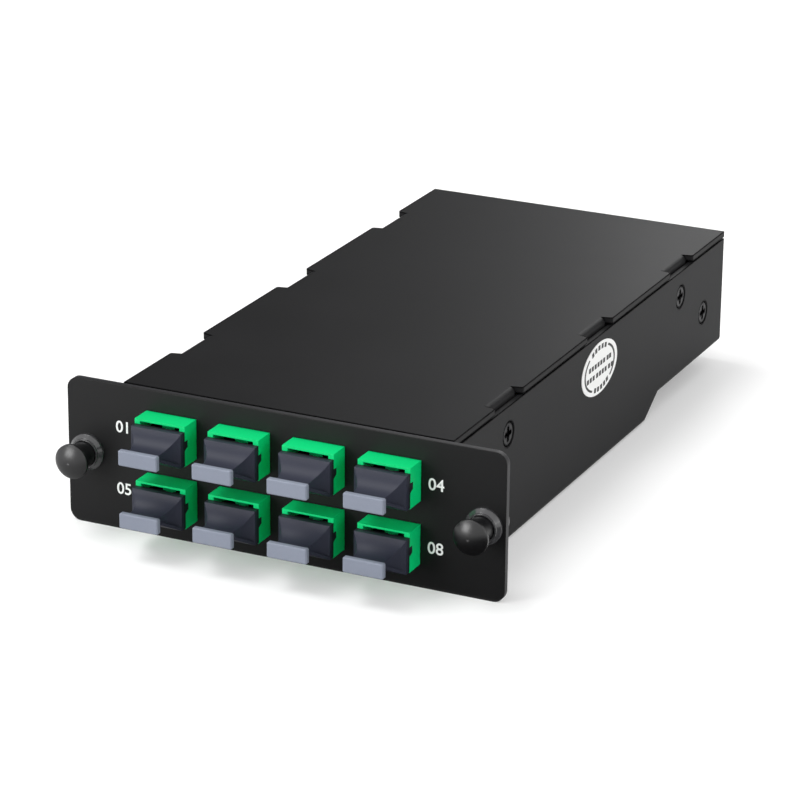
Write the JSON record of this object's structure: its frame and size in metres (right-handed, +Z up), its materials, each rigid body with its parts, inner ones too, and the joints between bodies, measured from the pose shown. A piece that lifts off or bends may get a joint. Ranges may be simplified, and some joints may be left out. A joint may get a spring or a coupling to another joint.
{
  "type": "fibre cassette",
  "caption": "Shallow black steel fibre cassette with a front panel of green duplex adapters under grey dust caps, a screwed flat lid and two push-pull plungers.",
  "frame": {"origin": "centre of the bounding box at its base, in the plane of the case's front underside", "axes": "+X across the panel to the right seen from the front, +Y back into the case, +Z up; the front panel faces -Y"},
  "size_m": [0.109, 0.1852, 0.035],
  "materials": {
    "black_powder_coat": "satin powder coat",
    "black_screw_steel": "black oxide",
    "seal_paper": "matte",
    "rivet_aluminium": "satin",
    "green_plastic": "satin",
    "grey_plastic": "satin",
    "black_nylon": "gloss",
    "white_ceramic": "gloss",
    "white_rubber": "matte",
    "yellow_jacket": "satin",
    "white_plastic": "matte",
    "module_steel": "satin",
    "grey_foam": "matte"
  },
  "bodies": {
    "cassette": {"front_panel": "black_powder_coat", "base_tray": "black_powder_coat", "rear_plate": "black_powder_coat", "lid": "black_powder_coat", "retaining_frame": "black_powder_coat", "lid_screws": "black_screw_steel", "rear_screws": "black_screw_steel", "seal_label": "seal_paper", "frame_rivets": "rivet_aluminium", "adapter_a1": "green_plastic", "connector_a1": "green_plastic", "adapter_a2": "green_plastic", "connector_a2": "green_plastic", "adapter_a3": "green_plastic", "connector_a3": "green_plastic", "adapter_a4": "green_plastic", "connector_a4": "green_plastic", "adapter_b1": "green_plastic", "connector_b1": "green_plastic", "adapter_b2": "green_plastic", "connector_b2": "green_plastic", "adapter_b3": "green_plastic", "connector_b3": "green_plastic", "adapter_b4": "green_plastic", "connector_b4": "green_plastic", "grommet_left": "black_nylon", "grommet_right": "black_nylon", "alignment_sleeves": "white_ceramic", "boots": "white_rubber", "fibre_leads": "yellow_jacket", "fibre_coil": "yellow_jacket", "splitter_leads": "yellow_jacket", "coil_clips": "white_plastic", "splitter_module_a": "module_steel", "splitter_module_b": "module_steel", "foam_pads": "grey_foam"},
    "cap_a1": {"dust_cap_a1": "grey_plastic"},
    "cap_a2": {"dust_cap_a2": "grey_plastic"},
    "cap_a3": {"dust_cap_a3": "grey_plastic"},
    "cap_a4": {"dust_cap_a4": "grey_plastic"},
    "cap_b1": {"dust_cap_b1": "grey_plastic"},
    "cap_b2": {"dust_cap_b2": "grey_plastic"},
    "cap_b3": {"dust_cap_b3": "grey_plastic"},
    "cap_b4": {"dust_cap_b4": "grey_plastic"},
    "plunger_left_body": {"plunger_left": "black_nylon"},
    "plunger_right_body": {"plunger_right": "black_nylon"}
  },
  "joints": [
    {"name": "cap_a1_pull", "type": "slide", "parent": "cassette", "child": "cap_a1", "axis": [0, -1, 0], "range_m": [0, 0.022]},
    {"name": "cap_a2_pull", "type": "slide", "parent": "cassette", "child": "cap_a2", "axis": [0, -1, 0], "range_m": [0, 0.022]},
    {"name": "cap_a3_pull", "type": "slide", "parent": "cassette", "child": "cap_a3", "axis": [0, -1, 0], "range_m": [0, 0.022]},
    {"name": "cap_a4_pull", "type": "slide", "parent": "cassette", "child": "cap_a4", "axis": [0, -1, 0], "range_m": [0, 0.022]},
    {"name": "cap_b1_pull", "type": "slide", "parent": "cassette", "child": "cap_b1", "axis": [0, -1, 0], "range_m": [0, 0.022]},
    {"name": "cap_b2_pull", "type": "slide", "parent": "cassette", "child": "cap_b2", "axis": [0, -1, 0], "range_m": [0, 0.022]},
    {"name": "cap_b3_pull", "type": "slide", "parent": "cassette", "child": "cap_b3", "axis": [0, -1, 0], "range_m": [0, 0.022]},
    {"name": "cap_b4_pull", "type": "slide", "parent": "cassette", "child": "cap_b4", "axis": [0, -1, 0], "range_m": [0, 0.022]},
    {"name": "plunger_left_push", "type": "slide", "parent": "cassette", "child": "plunger_left_body", "axis": [0, 1, 0], "range_m": [0, 0.005]},
    {"name": "plunger_right_push", "type": "slide", "parent": "cassette", "child": "plunger_right_body", "axis": [0, 1, 0], "range_m": [0, 0.005]}
  ]
}
